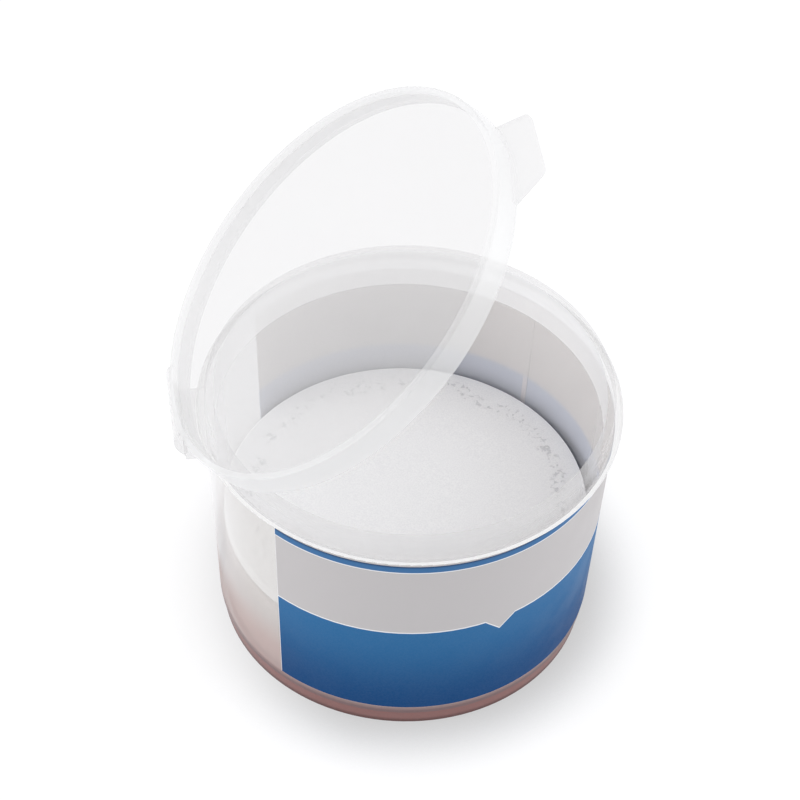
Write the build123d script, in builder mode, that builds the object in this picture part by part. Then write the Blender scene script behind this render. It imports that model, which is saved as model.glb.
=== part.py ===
"""Hearing aid dryer: a round snap-lid tub with a living hinge, desiccant beads and a soft pad.

All sizes are in millimetres. +Z is up, the origin is the centre of the tub's underside, the hinge
is on the -X side and the lid's pull tab on the +X side. The lid is drawn in its closed position on
a plane that is turned open about the hinge line, so it comes out standing open.
"""

import os
from math import cos, radians, sin, tan

from build123d import *

os.makedirs("parts", exist_ok=True)

# ---------------------------------------------------------------- driving dimensions
# Tub
tub_height = 53.6
base_radius = 35.0
wall_draft = 2.57
tub_wall = 1.3
floor_thickness = 1.5
inside_corner_radius = 2.0

# Foot: the slightly smaller ring at the bottom of the wall
foot_height = 3.4
foot_step = 0.45
foot_rounding = 0.9
groove_depth = 0.5
groove_inset = 3.0
groove_width = 2.5

# Rim: an upright lip set in from the wall, with a ledge that stands out below it
lip_inset = 0.2
lip_wall = 1.5
lip_height = 3.4
lip_rounding = 0.45
bead_drop = 0.6
bead_height = 1.2
bead_reach = 0.16
ledge_reach = 1.4
ledge_thickness = 1.3
ledge_rounding = 0.35

# Lid
lid_seat_gap = 0.3
lid_plate_thickness = 1.25
lid_side_draw = 0.3
skirt_clearance = 0.4
skirt_wall = 1.25
skirt_ledge_gap = 0.4
catch_gap = 0.1
catch_height = 0.6
catch_reach = 0.16
lid_corner_rounding = 0.35

# Pull tab
tab_length = 5.8
tab_root_width = 19.5
tab_tip_width = 14.5
tab_thickness = 0.9
tab_corner_radius = 1.6

# Living hinge: its line stands out from the ledge, just above the ledge's underside
pivot_reach = 2.8
pivot_rise = 0.2
open_angle = 43.5
leaf_width = 16.6
leaf_thickness = 0.75
leaf_gap = 0.22
leaf_end_gap = 0.08
strap_lean = 0.2
web_radius = 0.17

# Labels
label_thickness = 0.15
label_glue = 0.03
label_foot_gap = 2.0
label_ledge_gap = 1.7
front_label_start_angle = -137.4
front_label_sweep_angle = 178.9
label_seam_angle = 0.15
back_label_sweep_angle = 91.25

# Filling
bead_bed_gap = 0.25
bead_bed_height = 18.8
bead_radius = 0.8
bead_ring_pitch = 1.44
corner_ring_angle = 45.0
pad_gap = 0.3
pad_thickness = 3.8
pad_side_gap = 0.75
pad_crown = 0.45
pad_side_draw = 0.5

# ---------------------------------------------------------------- derived sizes
slope = tan(radians(wall_draft))


def wall_radius(height: float) -> float:
    """Outer radius of the drafted wall at a height above the table."""
    return base_radius + slope * height


foot_radius = base_radius - foot_step
ledge_top = tub_height - lip_height
ledge_bottom = ledge_top - ledge_thickness
ledge_radius = wall_radius(ledge_bottom) + ledge_reach
lip_outer_radius = wall_radius(ledge_bottom) - lip_inset
lip_inner_radius = lip_outer_radius - lip_wall
floor_radius = wall_radius(floor_thickness) - tub_wall
bore_slope = (lip_inner_radius - floor_radius) / (ledge_bottom - floor_thickness)


def bore_radius(height: float) -> float:
    """Inner radius of the tub, which runs straight from the floor to the lip, at a height."""
    return floor_radius + bore_slope * (height - floor_thickness)


pivot_radius = ledge_radius + pivot_reach
pivot_height = ledge_bottom + pivot_rise
leaf_end = pivot_radius - leaf_end_gap
label_bottom = foot_height + label_foot_gap
label_top = ledge_bottom - label_ledge_gap

# ---------------------------------------------------------------- planes
upright = Plane.XZ
tub_axis = Axis.Z
tilt = radians(open_angle)
hinge_plane = Plane(
    origin=(-pivot_radius, 0, pivot_height),
    x_dir=(cos(tilt), 0, sin(tilt)),
    z_dir=(0, -1, 0),
)
lid_section = Plane(
    origin=hinge_plane.from_local_coords((pivot_radius, -pivot_height)),
    x_dir=hinge_plane.x_dir,
    z_dir=hinge_plane.z_dir,
)
lid_axis = Axis(lid_section.origin, lid_section.y_dir)

# ---------------------------------------------------------------- tub
with BuildPart() as tub:
    with BuildSketch(upright) as tub_section:
        with BuildLine():
            Polyline(
                (0, 0),
                (foot_radius, 0),
                (foot_radius + slope * foot_height, foot_height),
                (wall_radius(foot_height), foot_height),
                (wall_radius(ledge_bottom), ledge_bottom),
                (ledge_radius, ledge_bottom),
                (ledge_radius, ledge_top),
                (lip_outer_radius, ledge_top),
                (lip_outer_radius, tub_height),
                (lip_inner_radius, tub_height),
                (lip_inner_radius, ledge_bottom),
                (floor_radius, floor_thickness),
                (0, floor_thickness),
                close=True,
            )
        make_face()
        corners = tub_section.vertices()
        ledge_corners = corners.group_by(Axis.X)[-1]
        lip_corners = corners.group_by(Axis.Y)[-1]
        foot_corner = corners.group_by(Axis.Y)[0].sort_by(Axis.X)[-1]
        inside_corner = corners.sort_by_distance((floor_radius, floor_thickness))[0]
        fillet(ledge_corners, ledge_rounding)
        fillet(lip_corners, lip_rounding)
        fillet(foot_corner, foot_rounding)
        fillet(inside_corner, inside_corner_radius)
    revolve(axis=tub_axis)

    # Stacking groove in the underside
    groove_radius = foot_radius - groove_inset
    with BuildSketch(Plane.XY):
        Circle(groove_radius)
        Circle(groove_radius - groove_width, mode=Mode.SUBTRACT)
    extrude(amount=groove_depth, mode=Mode.SUBTRACT)

    # Snap bead round the outside of the lip
    bead_top = tub_height - bead_drop
    with BuildSketch(upright):
        with BuildLine():
            Line((lip_outer_radius, bead_top - bead_height), (lip_outer_radius, bead_top))
            ThreePointArc(
                (lip_outer_radius, bead_top),
                (lip_outer_radius + bead_reach, bead_top - bead_height / 2),
                (lip_outer_radius, bead_top - bead_height),
            )
        make_face()
    revolve(axis=tub_axis)

    # Hinge leaf: a short flap at the ledge's foot, its root in the wall
    leaf_bottom = pivot_height - leaf_gap - leaf_thickness
    root_radius = wall_radius(leaf_bottom) - tub_wall / 2
    with BuildSketch(Plane.XY.offset(leaf_bottom)):
        with Locations((-leaf_end / 2, 0)):
            Rectangle(leaf_end, leaf_width)
        Circle(root_radius, mode=Mode.SUBTRACT)
    extrude(amount=leaf_thickness)

    # Root block that joins the leaf to the ledge above it
    with BuildSketch(Plane.XY.offset(leaf_bottom)):
        Circle(ledge_radius - ledge_rounding)
        Circle(root_radius, mode=Mode.SUBTRACT)
        with Locations((-leaf_end / 2, 0)):
            Rectangle(leaf_end, leaf_width, mode=Mode.INTERSECT)
    extrude(amount=ledge_bottom + ledge_thickness / 2 - leaf_bottom)
tub.part.label = "tub"

# ---------------------------------------------------------------- living hinge
with BuildPart() as living_hinge:
    with BuildSketch(hinge_plane.offset(-leaf_width / 2)):
        Circle(web_radius)
    extrude(amount=leaf_width)
living_hinge.part.label = "living_hinge"

# ---------------------------------------------------------------- lid, drawn closed
plate_underside = tub_height + lid_seat_gap
plate_top = plate_underside + lid_plate_thickness
skirt_bottom = ledge_top + skirt_ledge_gap
skirt_inner_radius = lip_outer_radius + skirt_clearance
skirt_outer_radius = skirt_inner_radius + skirt_wall
lid_top_radius = skirt_outer_radius - lid_side_draw

with BuildPart() as lid:
    with BuildSketch(lid_section) as lid_profile:
        with BuildLine():
            Polyline(
                (0, plate_underside),
                (skirt_inner_radius, plate_underside),
                (skirt_inner_radius, skirt_bottom),
                (skirt_outer_radius, skirt_bottom),
                (lid_top_radius, plate_top),
                (0, plate_top),
                close=True,
            )
        make_face()
        outer_corner = lid_profile.vertices().sort_by_distance((lid_top_radius, plate_top))[0]
        fillet(outer_corner, lid_corner_rounding)
    revolve(axis=lid_axis)

    # Catch ridge inside the skirt, below the lip's bead
    catch_top = bead_top - bead_height - catch_gap
    catch_bottom = catch_top - catch_height
    with BuildSketch(lid_section):
        with BuildLine():
            Line((skirt_inner_radius, catch_top), (skirt_inner_radius, catch_bottom))
            ThreePointArc(
                (skirt_inner_radius, catch_bottom),
                (skirt_inner_radius - catch_reach, (catch_top + catch_bottom) / 2),
                (skirt_inner_radius, catch_top),
            )
        make_face()
    revolve(axis=lid_axis)

    # Pull tab, level with the skirt's lower edge
    tab_plane = Plane(
        origin=lid_section.from_local_coords((0, skirt_bottom)),
        x_dir=lid_section.x_dir,
        z_dir=lid_section.y_dir,
    )
    tab_root = skirt_outer_radius - skirt_wall / 2
    tab_end = skirt_outer_radius + tab_length
    tab_chord = (skirt_outer_radius**2 - (tab_root_width / 2) ** 2) ** 0.5 - skirt_wall / 2
    with BuildSketch(tab_plane) as tab_outline:
        with BuildLine():
            Polyline(
                (tab_chord, -tab_root_width / 2),
                (tab_end, -tab_tip_width / 2),
                (tab_end, tab_tip_width / 2),
                (tab_chord, tab_root_width / 2),
                (tab_root, 0),
                close=True,
            )
        make_face()
        fillet(tab_outline.vertices().group_by(Axis.X)[-1], tab_corner_radius)
    extrude(amount=tab_thickness)

    # Hinge strap: it bows out from the hinge line and up to the skirt, level with the plate
    strap_bottom = pivot_height + leaf_gap
    strap_crest = leaf_end - strap_lean
    root_top = plate_underside + leaf_thickness / 2
    root_bottom = plate_underside - leaf_thickness / 2
    with BuildSketch(lid_section.offset(-leaf_width / 2)):
        with BuildLine():
            ThreePointArc(
                (-leaf_end, strap_bottom),
                (-strap_crest, (strap_bottom + root_top) / 2),
                (-skirt_outer_radius, root_top),
            )
            Polyline(
                (-skirt_outer_radius, root_top),
                (-skirt_inner_radius, root_top),
                (-skirt_inner_radius, root_bottom),
                (-skirt_outer_radius, root_bottom),
            )
            ThreePointArc(
                (-skirt_outer_radius, root_bottom),
                (leaf_thickness - strap_crest, (strap_bottom + root_bottom) / 2),
                (leaf_thickness - leaf_end, strap_bottom),
            )
            Line((leaf_thickness - leaf_end, strap_bottom), (-leaf_end, strap_bottom))
        make_face()
    extrude(amount=leaf_width)
lid.part.label = "lid"

# ---------------------------------------------------------------- labels
back_label_start_angle = front_label_start_angle + front_label_sweep_angle + label_seam_angle
label_names = ("front_label", "back_label")
start_angles = (front_label_start_angle, back_label_start_angle)
sweep_angles = (front_label_sweep_angle, back_label_sweep_angle)
labels = []
for label_name, start_angle, sweep_angle in zip(label_names, start_angles, sweep_angles):
    with BuildPart() as label:
        with BuildSketch(upright.rotated((0, 0, start_angle))):
            with BuildLine():
                Polyline(
                    (wall_radius(label_bottom) + label_glue, label_bottom),
                    (wall_radius(label_bottom) + label_glue + label_thickness, label_bottom),
                    (wall_radius(label_top) + label_glue + label_thickness, label_top),
                    (wall_radius(label_top) + label_glue, label_top),
                    close=True,
                )
            make_face()
        revolve(axis=tub_axis, revolution_arc=sweep_angle)
    label.part.label = label_name
    labels.append(label.part)

# ---------------------------------------------------------------- desiccant beads, as one bed
# The outermost beads lie in rings: one in the corner, a stack against the wall, and rings on top
bed_bottom = floor_thickness
bed_top = bed_bottom + bead_bed_height


def bed_radius(height: float) -> float:
    """Outer radius of the bed, a little clear of the tub's inner wall, at a height."""
    return bore_radius(height) - bead_bed_gap


corner_reach = inside_corner_radius + bead_bed_gap
corner_swing = corner_reach - bead_radius
corner_turn = radians(corner_ring_angle)
first_ring_height = bed_bottom + corner_reach
last_ring_height = bed_top - bead_radius
corner_ring = (
    bed_radius(first_ring_height) - corner_reach + corner_swing * cos(corner_turn),
    first_ring_height - corner_swing * sin(corner_turn),
)

wall_steps = round((last_ring_height - first_ring_height) / bead_ring_pitch)
wall_rings = []
for step in range(wall_steps + 1):
    ring_height = first_ring_height + (last_ring_height - first_ring_height) * step / wall_steps
    wall_rings.append((bed_radius(ring_height) - bead_radius, ring_height))

outer_top_ring = wall_rings[-1][0]
top_steps = round(outer_top_ring / bead_ring_pitch)
top_rings = [(outer_top_ring * step / top_steps, last_ring_height) for step in range(top_steps)]

with BuildPart() as desiccant_beads:
    with BuildSketch(upright):
        with BuildLine():
            Polyline(
                (0, bed_bottom),
                (bed_radius(bed_bottom) - corner_reach, bed_bottom),
                wall_rings[0],
                wall_rings[-1],
                (0, last_ring_height),
                close=True,
            )
        make_face()
        with Locations(corner_ring, *wall_rings, *top_rings):
            Circle(bead_radius)
        with Locations((bed_radius(bed_top) / 2, (bed_bottom + bed_top) / 2)):
            Rectangle(bed_radius(bed_top), bead_bed_height, mode=Mode.INTERSECT)
    revolve(axis=tub_axis)
desiccant_beads.part.label = "desiccant_beads"

# ---------------------------------------------------------------- pad
pad_bottom = bed_top + pad_gap
pad_radius = bore_radius(pad_bottom) - pad_side_gap
pad_edge_top = pad_bottom + pad_thickness - pad_crown
with BuildPart() as pad:
    with BuildSketch(upright):
        with BuildLine():
            Line((0, pad_bottom), (pad_radius - pad_side_draw, pad_bottom))
            ThreePointArc(
                (pad_radius - pad_side_draw, pad_bottom),
                (pad_radius, (pad_bottom + pad_edge_top) / 2),
                (pad_radius - pad_side_draw, pad_edge_top),
            )
            TangentArc(
                (0, pad_edge_top + pad_crown),
                (pad_radius - pad_side_draw, pad_edge_top),
                tangent=(1, 0),
            )
            Line((0, pad_edge_top + pad_crown), (0, pad_bottom))
        make_face()
    revolve(axis=tub_axis)
pad.part.label = "pad"

# ---------------------------------------------------------------- export
pieces = [tub.part, living_hinge.part, lid.part, *labels, desiccant_beads.part, pad.part]
for piece in pieces:
    export_step(piece, f"parts/{piece.label}.step")
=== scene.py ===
"""Looks of a hearing aid dryer: a frosted snap-lid tub with labels, desiccant beads and a pad.

Everything is in metres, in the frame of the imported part: +Z is up, the origin is the centre of the
tub's underside, the hinge is on the -X side and the lid's pull tab on the +X side.
"""

import logging
import math
import random
from dataclasses import dataclass, field
from enum import Enum

import bmesh
import bpy
from mathutils import Matrix, Vector

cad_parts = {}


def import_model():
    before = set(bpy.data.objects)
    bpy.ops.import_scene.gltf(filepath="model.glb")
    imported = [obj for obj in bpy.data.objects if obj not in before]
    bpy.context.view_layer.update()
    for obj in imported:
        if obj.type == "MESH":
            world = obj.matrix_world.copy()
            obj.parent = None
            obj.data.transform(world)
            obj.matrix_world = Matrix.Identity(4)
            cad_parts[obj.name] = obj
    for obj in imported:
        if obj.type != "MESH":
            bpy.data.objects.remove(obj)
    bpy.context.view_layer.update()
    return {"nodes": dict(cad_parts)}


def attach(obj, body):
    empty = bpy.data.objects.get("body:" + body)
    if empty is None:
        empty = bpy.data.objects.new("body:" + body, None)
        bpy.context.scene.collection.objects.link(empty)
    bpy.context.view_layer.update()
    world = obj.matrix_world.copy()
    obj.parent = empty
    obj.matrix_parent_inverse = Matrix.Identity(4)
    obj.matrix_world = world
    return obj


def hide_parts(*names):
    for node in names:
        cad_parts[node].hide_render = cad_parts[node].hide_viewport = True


LOG = logging.getLogger("dryer")
MM = 0.001
Colour = tuple[float, float, float]


def linear(red: int, green: int, blue: int) -> Colour:
    """Turn a display colour into the linear one that shaders use.

    Args:
        red: Red from 0 to 255.
        green: Green from 0 to 255.
        blue: Blue from 0 to 255.

    Returns:
        The linear colour, each part from 0 to 1.
    """
    parts = []
    for value in (red, green, blue):
        share = value / 255
        parts.append(share / 12.92 if share <= 0.04045 else ((share + 0.055) / 1.055) ** 2.4)
    return (parts[0], parts[1], parts[2])


class Body(Enum):
    """The moving bodies that a piece can ride on."""

    TUB = "tub_body"
    LID = "lid_body"
    PAD = "pad_body"


class Slot(Enum):
    """The part's material slots."""

    PLASTIC = "frosted_plastic"
    LABEL = "label_print"
    DESICCANT = "desiccant"
    FABRIC = "pad_fabric"


# ---------------------------------------------------------------- node graphs


class Graph:
    """Short calls for filling one node tree."""

    def __init__(self, tree: bpy.types.NodeTree) -> None:
        """Start on a tree.

        Args:
            tree: The tree that gets the nodes.
        """
        self.tree = tree

    def add(self, kind: str, inputs: dict | None = None, **settings: object) -> bpy.types.Node:
        """Add a node.

        Args:
            kind: Its type, such as ShaderNodeMath.
            inputs: Socket name or number to a value, or to a socket to link from.
            **settings: The node's own settings.

        Returns:
            The new node.
        """
        node = self.tree.nodes.new(kind)
        for name, value in settings.items():
            setattr(node, name, value)
        for name, value in (inputs or {}).items():
            self.feed(node.inputs[name], value)
        return node

    def feed(self, socket: bpy.types.NodeSocket, value: object) -> None:
        """Link a socket to another, or set its value.

        Args:
            socket: The input.
            value: An output socket, a number, or a colour or vector.
        """
        if isinstance(value, bpy.types.NodeSocket):
            self.tree.links.new(value, socket)
        elif socket.type == "RGBA":
            socket.default_value = (*value, 1.0)
        else:
            socket.default_value = value

    def math(self, operation: str, first: object, second: object = 0.0) -> bpy.types.NodeSocket:
        """Work out one number from two.

        Args:
            operation: The Math node's operation.
            first: A number or socket.
            second: A number or socket.

        Returns:
            The result's socket.
        """
        return self.add("ShaderNodeMath", {0: first, 1: second}, operation=operation).outputs[0]

    def ramp(self, value: object, low: float, high: float, to_low: float = 0.0, to_high: float = 1.0) -> bpy.types.NodeSocket:
        """Map a value smoothly from one range to another.

        Args:
            value: The socket that is mapped.
            low: Where the ramp starts.
            high: Where it ends.
            to_low: The result at the start.
            to_high: The result at the end.

        Returns:
            The result's socket.
        """
        reach = {"Value": value, "From Min": low, "From Max": high, "To Min": to_low, "To Max": to_high}
        return self.add("ShaderNodeMapRange", reach, interpolation_type="SMOOTHSTEP").outputs["Result"]

    def mix(self, share: object, first: object, second: object) -> bpy.types.NodeSocket:
        """Mix two colours.

        Args:
            share: How much of the second one shows.
            first: A colour or socket.
            second: A colour or socket.

        Returns:
            The mixed colour's socket.
        """
        node = self.add("ShaderNodeMix", data_type="RGBA")
        self.feed(node.inputs[0], share)
        self.feed(node.inputs[6], first)
        self.feed(node.inputs[7], second)
        return node.outputs[2]


def grain_group() -> bpy.types.NodeTree:
    """Build the fine grain that every finish uses, once.

    Returns:
        The group, with inputs Vector, Scale and Detail, and outputs Fine, Broad and Height.
    """
    name = "surface_grain"
    if name in bpy.data.node_groups:
        return bpy.data.node_groups[name]
    tree = bpy.data.node_groups.new(name, "ShaderNodeTree")
    tree.interface.new_socket(name="Vector", in_out="INPUT", socket_type="NodeSocketVector")
    tree.interface.new_socket(name="Scale", in_out="INPUT", socket_type="NodeSocketFloat")
    tree.interface.new_socket(name="Detail", in_out="INPUT", socket_type="NodeSocketFloat")
    for output in ("Fine", "Broad", "Height"):
        tree.interface.new_socket(name=output, in_out="OUTPUT", socket_type="NodeSocketFloat")
    graph = Graph(tree)
    given = graph.add("NodeGroupInput").outputs
    fine = graph.add("ShaderNodeTexNoise", {"Vector": given["Vector"], "Scale": given["Scale"], "Detail": given["Detail"]})
    wide = graph.math("MULTIPLY", given["Scale"], 0.06)
    broad = graph.add("ShaderNodeTexNoise", {"Vector": given["Vector"], "Scale": wide, "Detail": 2.0})
    height = graph.math("ADD", graph.math("MULTIPLY", fine.outputs[0], 0.5), broad.outputs[0])
    result = graph.add("NodeGroupOutput")
    graph.feed(result.inputs["Fine"], fine.outputs[0])
    graph.feed(result.inputs["Broad"], broad.outputs[0])
    graph.feed(result.inputs["Height"], height)
    return tree


class FinishGraph(Graph):
    """The node tree of one material, with its Principled shader ready."""

    def __init__(self, name: str) -> None:
        """Start a material.

        Args:
            name: The material's name.
        """
        self.material = bpy.data.materials.new(name)
        self.material.use_nodes = True
        super().__init__(self.material.node_tree)
        self.tree.nodes.clear()
        self.output = self.add("ShaderNodeOutputMaterial")
        self.shader = self.add("ShaderNodeBsdfPrincipled")
        self.feed(self.output.inputs["Surface"], self.shader.outputs[0])
        self.place = self.add("ShaderNodeTexCoord").outputs

    def grain(self, scale: float, detail: float = 3.0) -> bpy.types.bpy_prop_collection:
        """Place the shared grain on the piece's own coordinates.

        Args:
            scale: Grains to a metre.
            detail: The noise's detail.

        Returns:
            The group's outputs.
        """
        node = self.add("ShaderNodeGroup", node_tree=grain_group())
        self.feed(node.inputs["Vector"], self.place["Object"])
        self.feed(node.inputs["Scale"], scale)
        self.feed(node.inputs["Detail"], detail)
        return node.outputs

    def bump(self, height: object, strength: float, distance: float) -> None:
        """Feed a height to the shader's normal.

        Args:
            height: The height's socket.
            strength: The bump's strength.
            distance: How deep it is, in metres.
        """
        node = self.add("ShaderNodeBump", {"Height": height, "Strength": strength, "Distance": distance})
        self.feed(self.shader.inputs["Normal"], node.outputs[0])

    def shade(self, **values: object) -> None:
        """Feed the Principled shader.

        Args:
            **values: Socket name, with underscores for spaces, to a value or a socket.
        """
        for name, value in values.items():
            self.feed(self.shader.inputs[name.replace("_", " ").replace("Ior", "IOR")], value)


# ---------------------------------------------------------------- finishes


@dataclass(frozen=True)
class FrostedPlastic:
    """Thin milky polypropylene: light passes nearly straight, under a soft white veil.

    The veil is thicker where the plastic is seen edge on, and there it is also painted whiter, as painted
    light for the light scattered along the wall; it is thicker on the outside of the tub's wall too. The
    wall glows with the beads' colour next to them, the foot shows the beads' colour under painted shade,
    darkest at the bottom edge and in the strip under the label, and the ledge's lower edge has a painted
    highlight.
    """

    name: str
    tint: Colour = linear(226, 225, 226)
    # Edge on: a thicker veil, also painted whiter as painted light for the light scattered along the wall.
    edge_veil_and_light_tint: Colour = linear(248, 248, 250)
    passed: Colour = linear(254, 254, 254)
    wall_tint: Colour = linear(214, 211, 208)
    glow: Colour = linear(204, 184, 180)
    # Foot colours: the beads' colour through the wall under painted shade, darker in the strip under the label and
    # darkest at the bottom edge.
    foot_bead_shade: Colour = linear(140, 92, 88)
    under_label_bead_shade: Colour = linear(122, 98, 99)
    bottom_edge_shade: Colour = linear(92, 46, 44)
    # Painted highlight along the ledge's lower edge.
    ledge_highlight_tint: Colour = linear(254, 254, 254)
    roughness: float = 0.3
    straight_share: float = 0.74
    edge_share: float = 0.68
    wall_share: float = 0.36
    bed_share: float = 0.35
    foot_share: float = 0.12
    ledge_share: float = 0.02
    shade_share: float = 0.88
    wall_height: float = 47.4 * MM
    bed_low: float = 9.5 * MM
    bed_height: float = 20.5 * MM
    foot_height: float = 5.6 * MM
    ledge_height: float = 49.0 * MM
    ledge_inner: float = 37.7 * MM
    ledge_outer: float = 38.75 * MM
    collar_tint: Colour = linear(253, 253, 254)
    collar_share: float = 0.24
    collar_height: float = 45.0 * MM

    def zones(self, graph: FinishGraph, height: object) -> tuple[object, object, object, object, object]:
        """Mask the zones where the wall looks different.

        Args:
            graph: The material's graph.
            height: The socket of the point's height.

        Returns:
            Masks of the wall's outside, of the wall beside the beads, of the foot, which gets painted
            shade, of the ledge's lower edge, which gets a painted highlight, and of the thick collar inside the rim.
        """
        point = graph.place["Object"]
        flat = graph.add("ShaderNodeVectorMath", {0: point, 1: (1.0, 1.0, 0.0)}, operation="MULTIPLY").outputs[0]
        radius = graph.add("ShaderNodeVectorMath", {0: flat}, operation="LENGTH").outputs["Value"]
        outward = graph.add("ShaderNodeVectorMath", {0: flat, 1: graph.place["Normal"]}, operation="DOT_PRODUCT").outputs["Value"]
        behind = graph.add("ShaderNodeNewGeometry").outputs["Backfacing"]
        wall = graph.math("MULTIPLY", graph.ramp(outward, 0.004, 0.012), graph.ramp(height, self.wall_height, self.wall_height + 0.3 * MM, 1.0, 0.0))
        wall = graph.math("MULTIPLY", wall, graph.math("SUBTRACT", 1.0, behind))
        beside = graph.ramp(height, self.bed_low, self.bed_height, 1.0, 0.0)
        foot = graph.ramp(height, 0.7 * self.foot_height, self.foot_height, 1.0, 0.0)
        # Mask of the painted highlight on the ledge's lower edge.
        away = graph.math("ABSOLUTE", graph.math("SUBTRACT", height, self.ledge_height))
        across = graph.math("MULTIPLY", graph.math("GREATER_THAN", radius, self.ledge_inner), graph.math("LESS_THAN", radius, self.ledge_outer))
        ledge = graph.math("MULTIPLY", graph.ramp(away, 0.3 * MM, 0.45 * MM, 1.0, 0.0), across)
        collar = graph.math("MULTIPLY", graph.ramp(outward, -0.012, -0.004, 1.0, 0.0), graph.math("SUBTRACT", 1.0, behind))
        collar = graph.math("MULTIPLY", collar, graph.ramp(height, self.collar_height - 0.2 * MM, self.collar_height + 0.2 * MM))
        return wall, beside, foot, ledge, collar

    def material(self) -> bpy.types.Material:
        """Build the material.

        Returns:
            The material, which lets most rays through unbent.
        """
        graph = FinishGraph(self.name)
        grain = graph.grain(500.0)
        height = graph.add("ShaderNodeSeparateXYZ", {0: graph.place["Object"]}).outputs["Z"]
        wall, beside, foot, ledge, collar = self.zones(graph, height)
        facing = graph.add("ShaderNodeLayerWeight", {"Blend": 0.5}).outputs["Facing"]
        grazing = graph.ramp(facing, 0.6, 1.0)
        colour = graph.mix(graph.ramp(grain["Broad"], 0.3, 0.7), self.tint, tuple(part * 0.985 for part in self.tint))
        # Edge on, the veil turns whiter: thicker plastic plus painted light.
        colour = graph.mix(grazing, graph.mix(wall, colour, self.wall_tint), self.edge_veil_and_light_tint)
        # Painted shade on the foot: the beads' colour, darker under the label and darkest at the bottom edge.
        shaded_footing = graph.mix(graph.ramp(height, 2.6 * MM, 3.8 * MM), self.foot_bead_shade, self.under_label_bead_shade)
        shaded_footing = graph.mix(graph.ramp(height, 0.3 * MM, 1.3 * MM), self.bottom_edge_shade, shaded_footing)
        for zone, tone in ((beside, self.glow), (foot, shaded_footing), (collar, self.collar_tint), (ledge, self.ledge_highlight_tint)):
            colour = graph.mix(zone, colour, tone)
        rough = graph.ramp(grain["Height"], 0.4, 1.0, self.roughness - 0.03, self.roughness + 0.04)
        graph.shade(Base_Color=colour, Roughness=rough, Ior=1.49)
        graph.bump(grain["Broad"], 0.03, 0.00006)
        path = graph.add("ShaderNodeLightPath").outputs
        soft = graph.math("MAXIMUM", path["Is Shadow Ray"], path["Is Diffuse Ray"])
        straight = graph.ramp(grazing, 0.0, 1.0, self.straight_share, self.edge_share)
        shares = (self.wall_share, self.bed_share, self.foot_share, self.ledge_share, self.collar_share)
        for zone, share in zip((wall, beside, foot, ledge, collar), shares):
            straight = graph.math("MINIMUM", straight, graph.ramp(zone, 0.0, 1.0, self.straight_share, share))
        passing = graph.math("MAXIMUM", graph.math("MULTIPLY", soft, self.shade_share), straight)
        through = graph.add("ShaderNodeBsdfTransparent", {"Color": self.passed})
        blend = graph.add("ShaderNodeMixShader", {0: passing, 1: graph.shader.outputs[0], 2: through.outputs[0]})
        graph.feed(graph.output.inputs["Surface"], blend.outputs[0])
        return graph.material


@dataclass(frozen=True)
class FrostedLid(FrostedPlastic):
    """The same plastic on the lid: a clear plate inside a thicker, milkier skirt."""

    centre: Colour = (-11.368 * MM, 0.0, 77.594 * MM)
    upward: Colour = (-0.68835, 0.0, 0.72537)
    skirt_inner: float = 37.0 * MM
    skirt_tint: Colour = linear(238, 238, 239)
    skirt_share: float = 0.6

    def skirt(self, graph: FinishGraph) -> object:
        """Mask the skirt, which is far from the lid's own axis.

        Args:
            graph: The material's graph.

        Returns:
            The mask.
        """
        arm = graph.add("ShaderNodeVectorMath", {0: graph.place["Object"], 1: self.centre}, operation="SUBTRACT").outputs[0]
        swing = graph.add("ShaderNodeVectorMath", {0: arm, 1: self.upward}, operation="CROSS_PRODUCT").outputs[0]
        away = graph.add("ShaderNodeVectorMath", {0: swing}, operation="LENGTH").outputs["Value"]
        inside = graph.ramp(away, 38.8 * MM, 39.0 * MM, 1.0, 0.0)
        return graph.math("MULTIPLY", graph.ramp(away, self.skirt_inner, self.skirt_inner + 0.3 * MM), inside)

    def material(self) -> bpy.types.Material:
        """Build the material.

        Returns:
            The material, clear on the plate and milky on the skirt.
        """
        graph = FinishGraph(self.name)
        grain = graph.grain(500.0)
        skirt = self.skirt(graph)
        facing = graph.add("ShaderNodeLayerWeight", {"Blend": 0.5}).outputs["Facing"]
        grazing = graph.ramp(facing, 0.6, 1.0)
        colour = graph.mix(graph.ramp(grain["Broad"], 0.3, 0.7), self.tint, tuple(part * 0.985 for part in self.tint))
        # Edge on, the veil turns whiter: thicker plastic plus painted light.
        colour = graph.mix(grazing, graph.mix(skirt, colour, self.skirt_tint), self.edge_veil_and_light_tint)
        rough = graph.ramp(grain["Height"], 0.4, 1.0, self.roughness - 0.03, self.roughness + 0.04)
        graph.shade(Base_Color=colour, Roughness=rough, Ior=1.49)
        graph.bump(grain["Broad"], 0.03, 0.00006)
        path = graph.add("ShaderNodeLightPath").outputs
        soft = graph.math("MAXIMUM", path["Is Shadow Ray"], path["Is Diffuse Ray"])
        straight = graph.ramp(grazing, 0.0, 1.0, self.straight_share, self.edge_share)
        straight = graph.math("MINIMUM", straight, graph.ramp(skirt, 0.0, 1.0, self.straight_share, self.skirt_share))
        passing = graph.math("MAXIMUM", graph.math("MULTIPLY", soft, self.shade_share), straight)
        through = graph.add("ShaderNodeBsdfTransparent", {"Color": self.passed})
        blend = graph.add("ShaderNodeMixShader", {0: passing, 1: graph.shader.outputs[0], 2: through.outputs[0]})
        graph.feed(graph.output.inputs["Surface"], blend.outputs[0])
        return graph.material


class LabelSide(Enum):
    """The two halves of the wrapped label."""

    FRONT = "front_label"
    BACK = "back_label"


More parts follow.
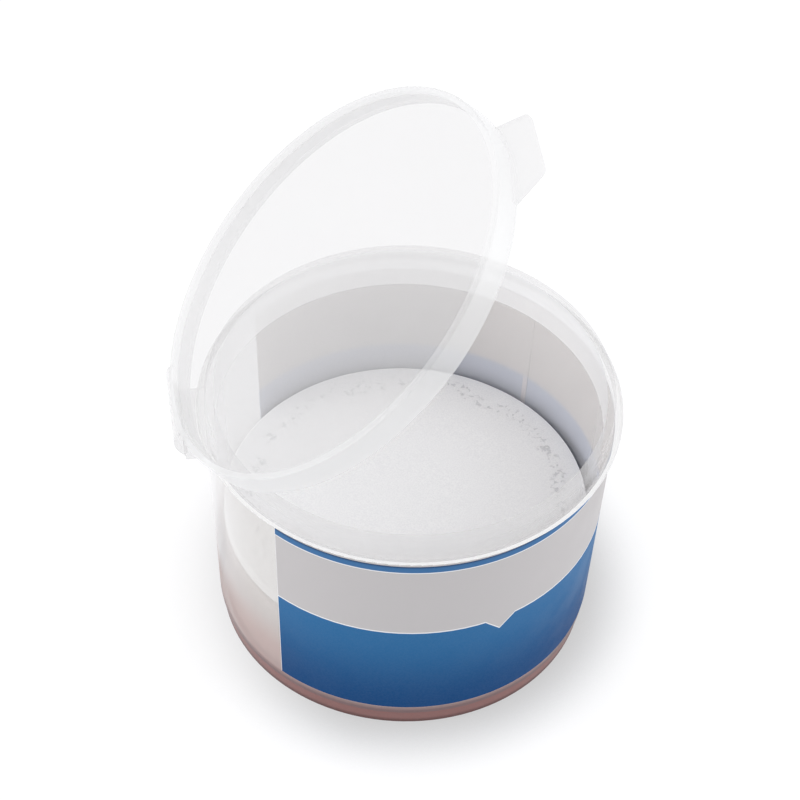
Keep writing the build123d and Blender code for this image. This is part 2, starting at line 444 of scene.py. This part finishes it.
@dataclass(frozen=True)
class PrintedLabel:
    """A two-tone label: a blue line, a pale grey field, a white line and a blue foot, with painted shade darkening the
    blue line towards its top edge under the ledge.
    """

    side: LabelSide
    blue_top: Colour = linear(40, 104, 156)
    blue_foot: Colour = linear(2, 67, 121)
    blue_line: Colour = linear(60, 110, 160)
    # Painted shade: the blue line's darker top, under the ledge.
    blue_ledge_shade: Colour = linear(22, 48, 84)
    grey: Colour = linear(194, 191, 192)
    white: Colour = linear(240, 241, 243)
    behind_grey: Colour = linear(251, 246, 244)
    behind_blue: Colour = linear(222, 229, 249)
    behind_margin: Colour = linear(255, 249, 254)
    foot_height: float = 5.4 * MM
    field_height: float = 28.1 * MM
    line_height: float = 45.4 * MM
    ledge_shade_start: float = 46.5 * MM
    top_height: float = 47.3 * MM
    notch_angle: float = math.radians(289.4 - 360)
    notch_half: float = math.radians(4.7)
    notch_depth: float = 3.0 * MM
    margin_angle: float = math.radians(43.4)
    cut_angle: float = math.radians(-137.4)

    def boundary(self, graph: FinishGraph, height: object, angle: object) -> object:
        """Work out how far a point is above the foot of the grey field.

        Args:
            graph: The material's graph.
            height: The socket of the point's height.
            angle: The socket of its angle round the tub.

        Returns:
            The distance, which follows the notch where the label has one.
        """
        above = graph.math("SUBTRACT", height, self.field_height)
        if self.side is LabelSide.BACK:
            return above
        aside = graph.math("ABSOLUTE", graph.math("SUBTRACT", angle, self.notch_angle))
        share = graph.math("MAXIMUM", graph.math("SUBTRACT", 1.0, graph.math("DIVIDE", aside, self.notch_half)), 0.0)
        return graph.math("ADD", above, graph.math("MULTIPLY", share, self.notch_depth))

    def stripe(self, graph: FinishGraph, away: object, inner: float, outer: float) -> object:
        """Mask a thin line.

        Args:
            graph: The material's graph.
            away: The socket of the signed distance from the line.
            inner: Half the width of its full part.
            outer: Where it has faded out.

        Returns:
            The mask.
        """
        return graph.ramp(graph.math("ABSOLUTE", away), inner, outer, 1.0, 0.0)

    def printed(self, graph: FinishGraph, height: object, above: object, angle: object, fine: object) -> object:
        """Colour the printed face.

        Args:
            graph: The material's graph.
            height: The socket of the point's height.
            above: The socket of its distance above the foot of the grey field.
            angle: The socket of the angle round the tub.
            fine: The socket of the fine grain.

        Returns:
            The colour's socket.
        """
        edge = 0.05 * MM
        depth = graph.ramp(height, self.foot_height, self.field_height)
        blue = graph.mix(depth, self.blue_foot, self.blue_top)
        colour = graph.mix(graph.ramp(above, -edge, edge), blue, self.grey)
        colour = graph.mix(self.stripe(graph, above, 0.08 * MM, 0.2 * MM), colour, self.white)
        over = graph.math("SUBTRACT", height, self.line_height)
        # Painted shade under the ledge: the blue line darkens towards the label's top edge.
        upper_line_shaded = graph.mix(graph.ramp(height, self.ledge_shade_start, self.top_height), self.blue_line, self.blue_ledge_shade)
        colour = graph.mix(graph.ramp(over, -edge, edge), colour, upper_line_shaded)
        colour = graph.mix(self.stripe(graph, over, 0.06 * MM, 0.15 * MM), colour, self.white)
        if self.side is LabelSide.FRONT:
            edge = graph.math("SUBTRACT", angle, self.cut_angle)
            colour = graph.mix(self.stripe(graph, edge, 0.0015, 0.0035), colour, self.white)
        return graph.mix(graph.ramp(fine, 0.3, 0.7, 0.0, 0.01), colour, self.white)

    def unprinted(self, graph: FinishGraph, above: object, angle: object) -> object:
        """Colour the glued face, where the print shows through muted.

        Args:
            graph: The material's graph.
            above: The socket of the distance above the foot of the grey field.
            angle: The socket of the angle round the tub.

        Returns:
            The colour's socket.
        """
        colour = graph.mix(graph.ramp(above, -1.1 * MM, 0.7 * MM), self.behind_blue, self.behind_grey)
        if self.side is LabelSide.FRONT:
            return colour
        margin = graph.ramp(angle, self.margin_angle - 0.004, self.margin_angle + 0.002, 1.0, 0.0)
        low = graph.ramp(above, -0.9 * MM, 0.2 * MM, 1.0, 0.0)
        return graph.mix(graph.math("MULTIPLY", margin, low), colour, self.behind_margin)

    def material(self) -> bpy.types.Material:
        """Build the material.

        Returns:
            The material, printed outside and muted inside.
        """
        graph = FinishGraph(self.side.value + "_print")
        point = graph.add("ShaderNodeSeparateXYZ", {0: graph.place["Object"]}).outputs
        angle = graph.math("ARCTAN2", point["Y"], point["X"])
        above = self.boundary(graph, point["Z"], angle)
        grain = graph.grain(2600.0)
        radial = graph.add("ShaderNodeVectorMath", {0: graph.place["Object"], 1: (1.0, 1.0, 0.0)}, operation="MULTIPLY")
        facing = graph.add("ShaderNodeVectorMath", {0: radial.outputs[0], 1: graph.place["Normal"]}, operation="DOT_PRODUCT")
        outside = graph.ramp(facing.outputs["Value"], -0.004, 0.004)
        front = self.printed(graph, point["Z"], above, angle, grain["Fine"])
        colour = graph.mix(outside, self.unprinted(graph, above, angle), front)
        graph.shade(Base_Color=colour, Roughness=graph.ramp(grain["Broad"], 0.3, 0.7, 0.42, 0.52))
        graph.shader.inputs["Specular IOR Level"].default_value = 0.1
        graph.bump(grain["Fine"], 0.08, 0.00004)
        return graph.material


@dataclass(frozen=True)
class DesiccantBead:
    """Pinkish brown silica beads, a little uneven in colour and paler towards the top."""

    name: str
    dark: Colour = linear(88, 38, 34)
    light: Colour = linear(130, 74, 68)
    # A paler colour towards the top of the bed.
    pale_top_tone: Colour = linear(214, 202, 198)
    pale_start: float = 9.0 * MM
    pale_end: float = 20.5 * MM

    def material(self) -> bpy.types.Material:
        """Build the material.

        Returns:
            The material.
        """
        graph = FinishGraph(self.name)
        grain = graph.grain(900.0)
        each = graph.add("ShaderNodeTexVoronoi", {"Vector": graph.place["Object"], "Scale": 520.0})
        tone = graph.add("ShaderNodeSeparateColor", {0: each.outputs["Color"]}).outputs[0]
        colour = graph.mix(graph.math("MULTIPLY", graph.math("ADD", tone, grain["Fine"]), 0.5), self.dark, self.light)
        height = graph.add("ShaderNodeSeparateXYZ", {0: graph.place["Object"]}).outputs["Z"]
        colour = graph.mix(graph.ramp(height, self.pale_start, self.pale_end, 0.0, 0.8), colour, self.pale_top_tone)
        graph.shade(Base_Color=colour, Roughness=graph.ramp(grain["Fine"], 0.3, 0.7, 0.4, 0.55))
        graph.shader.inputs["Specular IOR Level"].default_value = 0.3
        graph.bump(grain["Fine"], 0.15, 0.0001)
        return graph.material


@dataclass(frozen=True)
class PadFleece:
    """White pressed fleece: a fine fibre grain, a rough ring of small crimps with painted shade in their pits, a
    creased edge and a painted highlight along the rim.
    """

    name: str
    light: Colour = linear(246, 246, 247)
    shade_tone: Colour = linear(237, 237, 239)
    # Painted shade in the crimps' pits.
    crimp_pit_shade: Colour = linear(186, 186, 191)
    # Painted highlight along the pad's rim.
    rim_highlight: Colour = linear(254, 254, 255)
    rim_radius: float = 33.6 * MM
    crimp_radius: float = 29.6 * MM
    crimp_reach: float = 1.8 * MM

    def material(self) -> bpy.types.Material:
        """Build the material.

        Returns:
            The material.
        """
        graph = FinishGraph(self.name)
        grain = graph.grain(4200.0, 4.0)
        point = graph.place["Object"]
        flat = graph.add("ShaderNodeVectorMath", {0: point, 1: (1.0, 1.0, 0.0)}, operation="MULTIPLY").outputs[0]
        radius = graph.add("ShaderNodeVectorMath", {0: flat}, operation="LENGTH").outputs["Value"]
        warp = graph.add("ShaderNodeTexNoise", {"Vector": point, "Scale": 160.0, "Detail": 1.0}).outputs[0]
        away = graph.math("SUBTRACT", graph.math("ADD", radius, graph.math("MULTIPLY", graph.math("SUBTRACT", warp, 0.5), 0.006)), self.crimp_radius)
        band = graph.ramp(graph.math("ABSOLUTE", away), 0.25 * self.crimp_reach, self.crimp_reach, 1.0, 0.0)
        pits = graph.add("ShaderNodeTexNoise", {"Vector": point, "Scale": 1100.0, "Detail": 1.0, "Distortion": 0.6}).outputs[0]
        crimps = graph.math("MULTIPLY", band, graph.ramp(pits, 0.56, 0.66))
        upright = graph.add("ShaderNodeVectorMath", {0: point, 1: (1.0, 1.0, 0.22)}, operation="MULTIPLY").outputs[0]
        creases = graph.add("ShaderNodeTexNoise", {"Vector": upright, "Scale": 700.0, "Detail": 2.0}).outputs[0]
        level = graph.add("ShaderNodeSeparateXYZ", {0: graph.place["Normal"]}).outputs["Z"]
        side = graph.ramp(graph.math("ABSOLUTE", level), 0.4, 0.8, 1.0, 0.0)
        height = graph.math("MULTIPLY", grain["Fine"], 0.12)
        height = graph.math("SUBTRACT", height, crimps)
        height = graph.math("ADD", height, graph.math("MULTIPLY", creases, side))
        colour = graph.mix(graph.ramp(grain["Fine"], 0.35, 0.65), self.light, self.shade_tone)
        # Painted shade in the crimps' pits.
        colour = graph.mix(graph.math("MULTIPLY", crimps, 0.5), colour, self.crimp_pit_shade)
        # Painted highlight on the pad's rim.
        colour = graph.mix(graph.ramp(radius, self.rim_radius, self.rim_radius + 0.2 * MM), colour, self.rim_highlight)
        graph.shade(Base_Color=colour, Roughness=graph.ramp(grain["Fine"], 0.3, 0.7, 0.85, 0.95))
        graph.shader.inputs["Sheen Weight"].default_value = 0.2
        graph.shader.inputs["Specular IOR Level"].default_value = 0.25
        graph.bump(height, 0.5, 0.00022)
        return graph.material


@dataclass(frozen=True)
class WhiteFloor:
    """A plain floor that the camera sees as white where nothing shades it, with a painted contact shadow from ambient
    occlusion near the object, fainter on the -X side.
    """

    name: str
    colour: Colour = (0.86, 0.86, 0.87)
    seen_colour: Colour = (0.17, 0.17, 0.18)
    lift: float = 0.87
    # Reach of the painted contact shadow.
    contact_shadow_reach: float = 17 * MM

    def material(self) -> bpy.types.Material:
        """Build the material.

        Returns:
            The material.
        """
        graph = FinishGraph(self.name)
        grain = graph.grain(60.0)
        path = graph.add("ShaderNodeLightPath").outputs
        seen = graph.math("MAXIMUM", path["Is Camera Ray"], graph.math("MAXIMUM", path["Is Glossy Ray"], path["Is Transmission Ray"]))
        tone = graph.mix(seen, self.colour, self.seen_colour)
        graph.shade(Base_Color=graph.mix(graph.math("MULTIPLY", grain["Fine"], 0.02), tone, (1.0, 1.0, 1.0)), Roughness=0.9)
        graph.shader.inputs["Specular IOR Level"].default_value = 0.0
        # Painted contact shadow: ambient occlusion darkens the white lift near the object, less on the -X side.
        contact_occlusion = graph.add("ShaderNodeAmbientOcclusion", {"Distance": self.contact_shadow_reach}, samples=16).outputs["AO"]
        aside = graph.add("ShaderNodeSeparateXYZ", {0: graph.place["Object"]}).outputs["X"]
        dark = graph.math("MULTIPLY", graph.ramp(contact_occlusion, 0.5, 1.0, 0.42, 0.0), graph.ramp(aside, -42 * MM, -12 * MM, 0.3, 1.0))
        lift = graph.math("MULTIPLY", graph.math("SUBTRACT", 1.0, dark), self.lift)
        glow = graph.add("ShaderNodeEmission", {"Color": (1.0, 1.0, 1.0), "Strength": graph.math("MULTIPLY", seen, lift)})
        both = graph.add("ShaderNodeAddShader", {0: graph.shader.outputs[0], 1: glow.outputs[0]})
        graph.feed(graph.output.inputs["Surface"], both.outputs[0])
        return graph.material


# ---------------------------------------------------------------- making pieces


def piece_from(mesh: bmesh.types.BMesh, name: str, material: bpy.types.Material) -> bpy.types.Object:
    """Turn a bmesh into a smooth piece at the origin.

    Args:
        mesh: The shape, in metres, which is freed.
        name: The piece's name.
        material: Its material.

    Returns:
        The piece.
    """
    data = bpy.data.meshes.new(name)
    mesh.to_mesh(data)
    mesh.free()
    data.materials.append(material)
    piece = bpy.data.objects.new(name, data)
    bpy.context.scene.collection.objects.link(piece)
    for face in data.polygons:
        face.use_smooth = True
    LOG.info("%s: %d faces", name, len(data.polygons))
    return piece


def dress(piece: bpy.types.Object, material: bpy.types.Material) -> None:
    """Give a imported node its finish.

    Args:
        piece: The node's object.
        material: Its material.
    """
    piece.data.materials.clear()
    piece.data.materials.append(material)
    LOG.info("%s dressed in %s", piece.name, material.name)


@dataclass
class Shell:
    """The moulding: tub, hinge web and lid, in one frosted plastic."""

    nodes: dict
    finish: FrostedPlastic = FrostedPlastic("milky_polypropylene")
    cap_finish: FrostedLid = FrostedLid("milky_polypropylene_lid")

    def build(self) -> None:
        """Dress the tub, the hinge web and the lid."""
        material = self.finish.material()
        for name in ("tub", "living_hinge"):
            dress(self.nodes[name], material)
        dress(self.nodes["lid"], self.cap_finish.material())


@dataclass
class Labels:
    """The front and the back label."""

    nodes: dict

    def build(self) -> None:
        """Dress both labels."""
        for side in LabelSide:
            dress(self.nodes[side.value], PrintedLabel(side).material())


@dataclass
class BeadFill:
    """The desiccant: rings of loose beads round a core that stands for those in the middle."""

    bead_radius: float = 0.8 * MM
    pitch: float = 1.44 * MM
    bottom: float = 1.5 * MM
    top: float = 20.3 * MM
    wall_radius: float = 33.517 * MM
    wall_slope: float = 0.03646
    corner_reach: float = 2.25 * MM
    sunk: float = 0.7
    finish: DesiccantBead = DesiccantBead("silica_beads")
    spread: random.Random = field(default_factory=lambda: random.Random(7))

    def reach(self, height: float) -> float:
        """Give the bed's radius at a height."""
        return self.wall_radius + self.wall_slope * (height - self.bottom)

    def seed(self) -> bpy.types.Mesh:
        """Make the one bead that the others copy.

        Returns:
            A ball of radius 1 with a few dozen faces.
        """
        ball = bmesh.new()
        bmesh.ops.create_icosphere(ball, subdivisions=2, radius=1.0)
        data = bpy.data.meshes.new("bead_seed")
        ball.to_mesh(data)
        ball.free()
        return data

    def ring(self, radius: float, height: float) -> list[Vector]:
        """Spread spots round one ring.

        Args:
            radius: The ring's radius.
            height: Its height.

        Returns:
            The beads' centres, one in the middle where the ring has no radius.
        """
        count = max(1, int(2 * math.pi * radius / (self.bead_radius * 1.96)))
        start = self.spread.uniform(0, math.pi)
        spots = []
        for number in range(count):
            angle = start + 2 * math.pi * (number + self.spread.uniform(-0.08, 0.08)) / count
            inward = max(0.0, radius - self.bead_radius * self.spread.uniform(0.0, 0.12))
            drop = self.bead_radius * self.spread.uniform(0.0, 0.12)
            spots.append(Vector((inward * math.cos(angle), inward * math.sin(angle), height - drop)))
        return spots

    def side(self) -> list[Vector]:
        """Lay rings in the corner and against the wall.

        Returns:
            The beads' centres.
        """
        low = self.bottom + self.corner_reach
        high = self.top - self.bead_radius
        swing = (self.corner_reach - self.bead_radius) * math.sqrt(0.5)
        spots = self.ring(self.reach(low) - self.corner_reach + swing, low - swing)
        steps = round((high - low) / self.pitch)
        for step in range(steps + 1):
            height = low + (high - low) * step / steps
            spots += self.ring(self.reach(height) - self.bead_radius, height)
        return spots

    def level(self, outer: float, height: float) -> list[Vector]:
        """Lay flat rings from the middle outwards.

        Args:
            outer: The radius of the ring just outside them.
            height: The height of the beads' centres.

        Returns:
            The beads' centres.
        """
        steps = round(outer / self.pitch)
        spots = []
        for step in range(steps):
            spots += self.ring(outer * step / steps, height)
        return spots

    def lay(self, spots: list[Vector]) -> bmesh.types.BMesh:
        """Put a bead on each spot.

        Args:
            spots: The beads' centres.

        Returns:
            The beads.
        """
        mesh = bmesh.new()
        seed = self.seed()
        for spot in spots:
            size = self.bead_radius * self.spread.uniform(0.9, 1.0)
            turn = Matrix.Rotation(self.spread.uniform(0, math.pi), 4, "Z")
            place = Matrix.Translation(spot) @ turn @ Matrix.Scale(size, 4)
            seed.transform(place)
            mesh.from_mesh(seed)
            seed.transform(place.inverted())
        bpy.data.meshes.remove(seed)
        return mesh

    def core(self) -> bmesh.types.BMesh:
        """Make the core that the outer beads are half sunk in.

        Returns:
            A drum with a bevelled foot.
        """
        mesh = bmesh.new()
        deep = self.bead_radius * self.sunk
        middle = Matrix.Translation((0, 0, (self.top + self.bottom) / 2))
        bmesh.ops.create_cone(
            mesh,
            cap_ends=True,
            segments=128,
            radius1=self.reach(self.bottom) - deep,
            radius2=self.reach(self.top) - deep,
            depth=self.top - self.bottom - 2 * deep,
            matrix=middle,
        )
        middle_height = (self.top + self.bottom) / 2
        foot = [edge for edge in mesh.edges if all(vertex.co.z < middle_height for vertex in edge.verts)]
        offset = self.corner_reach * 0.5
        bmesh.ops.bevel(mesh, geom=foot, offset=offset, affect="EDGES", segments=3, profile=0.5, material=-1)
        bmesh.ops.recalc_face_normals(mesh, faces=mesh.faces)
        return mesh

    def build(self) -> None:
        """Build the core and the beads round it."""
        material = self.finish.material()
        rim = self.top - self.bead_radius
        floor = self.bottom + self.bead_radius
        layers = {
            "desiccant_core": self.core(),
            "beads_at_wall": self.lay(self.side()),
            "beads_on_floor": self.lay(self.level(self.reach(floor) - self.corner_reach + self.pitch / 2, floor)),
            "beads_on_top": self.lay(self.level(self.reach(rim) - self.bead_radius, rim)),
        }
        for name, mesh in layers.items():
            piece = piece_from(mesh, name, material)
            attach(piece, Body.TUB.value)
            if name == "desiccant_core":
                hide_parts("desiccant_beads")


@dataclass
class Pad:
    """The soft pad on the beads: a cut fleece disc, swelled a little as cloth."""

    radius: float = 34.05 * MM
    bottom: float = 20.6 * MM
    top: float = 24.4 * MM
    crown: float = 0.3 * MM
    ring: float = 1.15 * MM
    edge: float = 0.16 * MM
    swell: float = 20.0
    finish: PadFleece = PadFleece("white_fleece")
    spread: random.Random = field(default_factory=lambda: random.Random(11))

    def blank(self) -> bmesh.types.BMesh:
        """Make the slack disc, at the simulation's larger scale.

        Returns:
            A closed disc with narrow rounded rims, divided in rings.
        """
        mesh = bmesh.new()
        depth = self.top - self.bottom - 2 * self.crown
        bmesh.ops.create_cone(mesh, cap_ends=True, segments=144, radius1=self.radius, radius2=self.radius, depth=depth)
        upright = [edge for edge in mesh.edges if abs(edge.verts[0].co.z - edge.verts[1].co.z) > depth * 0.5]
        bmesh.ops.subdivide_edges(mesh, edges=upright, cuts=3, use_grid_fill=True)
        caps = [face for face in mesh.faces if len(face.verts) > 4]
        rims = list({edge for cap in caps for edge in cap.edges})
        bmesh.ops.bevel(mesh, geom=rims, offset=self.edge, affect="EDGES", segments=2, profile=0.5, material=-1)
        caps = [face for face in mesh.faces if len(face.verts) > 4]
        for _ in range(int(self.radius / self.ring) - 2):
            bmesh.ops.inset_region(mesh, faces=caps, thickness=self.ring, use_even_offset=True)
        bmesh.ops.poke(mesh, faces=caps)
        for vertex in mesh.verts:
            vertex.co.z += self.spread.uniform(-0.06, 0.06) * MM
        bmesh.ops.smooth_vert(mesh, verts=mesh.verts, factor=0.5, use_axis_z=True)
        bmesh.ops.recalc_face_normals(mesh, faces=mesh.faces)
        bmesh.ops.scale(mesh, vec=(self.swell,) * 3, verts=mesh.verts)
        return mesh

    def build(self) -> None:
        """Build, swell and place the pad."""
        piece = piece_from(self.blank(), "pad_cover", self.finish.material())
        self.simulate(piece)
        self.fit(piece)
        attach(piece, Body.PAD.value)
        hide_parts("pad")

    def apply(self, piece: bpy.types.Object) -> None:
        """Bake what the piece's modifiers make of it into its mesh.

        Args:
            piece: The piece.
        """
        bpy.context.view_layer.update()
        shown = piece.evaluated_get(bpy.context.evaluated_depsgraph_get())
        data = bpy.data.meshes.new_from_object(shown)
        piece.modifiers.clear()
        piece.data = data
        for face in data.polygons:
            face.use_smooth = True

    def simulate(self, piece: bpy.types.Object) -> None:
        """Swell the disc as cloth under a light pressure.

        Args:
            piece: The disc.
        """
        cloth = piece.modifiers.new("swell", "CLOTH")
        cloth.settings.quality = 6
        cloth.settings.mass = 0.3
        cloth.settings.tension_stiffness = 12
        cloth.settings.bending_stiffness = 0.6
        cloth.settings.use_pressure = True
        cloth.settings.uniform_pressure_force = 3.0
        rim = piece.vertex_groups.new(name="rim")
        held = self.swell * (self.radius - 0.5 * MM)
        rim.add([vertex.index for vertex in piece.data.vertices if math.hypot(vertex.co.x, vertex.co.y) > held], 1.0, "REPLACE")
        cloth.settings.vertex_group_mass = rim.name
        cloth.settings.effector_weights.gravity = 0.0
        cloth.collision_settings.use_collision = False
        cloth.point_cache.frame_start = 1
        cloth.point_cache.frame_end = 20
        scene = bpy.context.scene
        for frame_number in range(1, 21):
            scene.frame_set(frame_number)
        self.apply(piece)
        scene.frame_set(1)

    def fit(self, piece: bpy.types.Object) -> None:
        """Bring the swelled disc back to size and set it on the beads.

        Args:
            piece: The disc.
        """
        mesh = bmesh.new()
        mesh.from_mesh(piece.data)
        bmesh.ops.scale(mesh, vec=(1 / self.swell,) * 3, verts=mesh.verts)
        low = min(vertex.co.z for vertex in mesh.verts)
        high = max(vertex.co.z for vertex in mesh.verts)
        reach = max(math.hypot(vertex.co.x, vertex.co.y) for vertex in mesh.verts)
        tall = (self.top - self.bottom) / (high - low)
        bmesh.ops.scale(mesh, vec=(self.radius / reach, self.radius / reach, tall), verts=mesh.verts)
        bmesh.ops.translate(mesh, vec=(0, 0, self.bottom - low * tall), verts=mesh.verts)
        mesh.to_mesh(piece.data)
        mesh.free()
        smooth = piece.modifiers.new("round", "SUBSURF")
        smooth.levels = smooth.render_levels = 1
        LOG.info("pad_cover fitted, swelled height %.2f mm", (high - low) * 1000 / self.swell)


# ---------------------------------------------------------------- studio


@dataclass(frozen=True)
class PhotoCamera:
    """The camera at the photograph's place."""

    place: tuple[float, float, float] = (-0.06087, -0.34523, 0.41502)
    heading: float = math.radians(9.6999)
    tilt: float = math.radians(46.172)
    roll: float = math.radians(2.3635)
    lens: float = 126.0

    def build(self) -> None:
        """Make the camera and use it."""
        ahead = Vector((math.sin(self.heading) * math.cos(self.tilt), math.cos(self.heading) * math.cos(self.tilt), -math.sin(self.tilt)))
        level = Vector((math.cos(self.heading), -math.sin(self.heading), 0.0))
        upward = level.cross(ahead)
        right = level * math.cos(self.roll) + upward * math.sin(self.roll)
        top = upward * math.cos(self.roll) - level * math.sin(self.roll)
        data = bpy.data.cameras.new("photo_camera")
        data.lens = self.lens
        data.sensor_width = 36.0
        data.clip_start = 0.01
        camera = bpy.data.objects.new("photo_camera", data)
        bpy.context.scene.collection.objects.link(camera)
        turn = Matrix((right, top, -ahead)).transposed().to_4x4()
        camera.matrix_world = Matrix.Translation(self.place) @ turn
        bpy.context.scene.camera = camera


@dataclass(frozen=True)
class SoftLamp:
    """One large soft lamp that looks at the object."""

    name: str
    place: tuple[float, float, float]
    size: float
    power: float

    def build(self) -> None:
        """Make the lamp."""
        data = bpy.data.lights.new(self.name, "AREA")
        data.shape = "DISK"
        data.size = self.size
        data.energy = self.power
        lamp = bpy.data.objects.new(self.name, data)
        bpy.context.scene.collection.objects.link(lamp)
        aim = Vector((0, 0, 0.03)) - Vector(self.place)
        lamp.matrix_world = Matrix.Translation(self.place) @ aim.to_track_quat("-Z", "Y").to_matrix().to_4x4()


@dataclass(frozen=True)
class Studio:
    """Floor, sky and lamps."""

    sky: float = 0.79
    lamps: tuple[SoftLamp, ...] = (
        SoftLamp("left_lamp", (-0.68, -0.1, 0.45), 0.8, 2.2),
        SoftLamp("right_lamp", (0.68, -0.15, 0.42), 0.8, 2.2),
    )

    def build(self) -> None:
        """Make the floor, the world and the lamps."""
        mesh = bmesh.new()
        bmesh.ops.create_grid(mesh, x_segments=8, y_segments=8, size=4.0)
        floor = piece_from(mesh, "floor", WhiteFloor("white_floor").material())
        world = bpy.data.worlds.new("studio_sky")
        bpy.context.scene.world = world
        world.use_nodes = True
        graph = Graph(world.node_tree)
        world.node_tree.nodes.clear()
        path = graph.add("ShaderNodeLightPath").outputs
        seen = graph.math("MAXIMUM", path["Is Camera Ray"], graph.math("MAXIMUM", path["Is Glossy Ray"], path["Is Transmission Ray"]))
        strength = graph.math("ADD", graph.math("MULTIPLY", seen, 1.0 - self.sky), self.sky)
        sky = graph.add("ShaderNodeBackground", {"Color": (1.0, 1.0, 1.0), "Strength": strength})
        out = graph.add("ShaderNodeOutputWorld")
        graph.feed(out.inputs["Surface"], sky.outputs[0])
        for lamp in self.lamps:
            lamp.build()
        bpy.context.scene.view_settings.view_transform = "Standard"


def main() -> None:
    """Load the frame, dress the part and set up the studio."""
    logging.basicConfig(level=logging.INFO, format="%(name)s: %(message)s")
    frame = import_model()
    PhotoCamera().build()
    for assembly in (Shell(frame["nodes"]), Labels(frame["nodes"]), BeadFill(), Pad()):
        LOG.info("building %s", type(assembly).__name__)
        assembly.build()
    Studio().build()


if __name__ == "__main__":
    main()
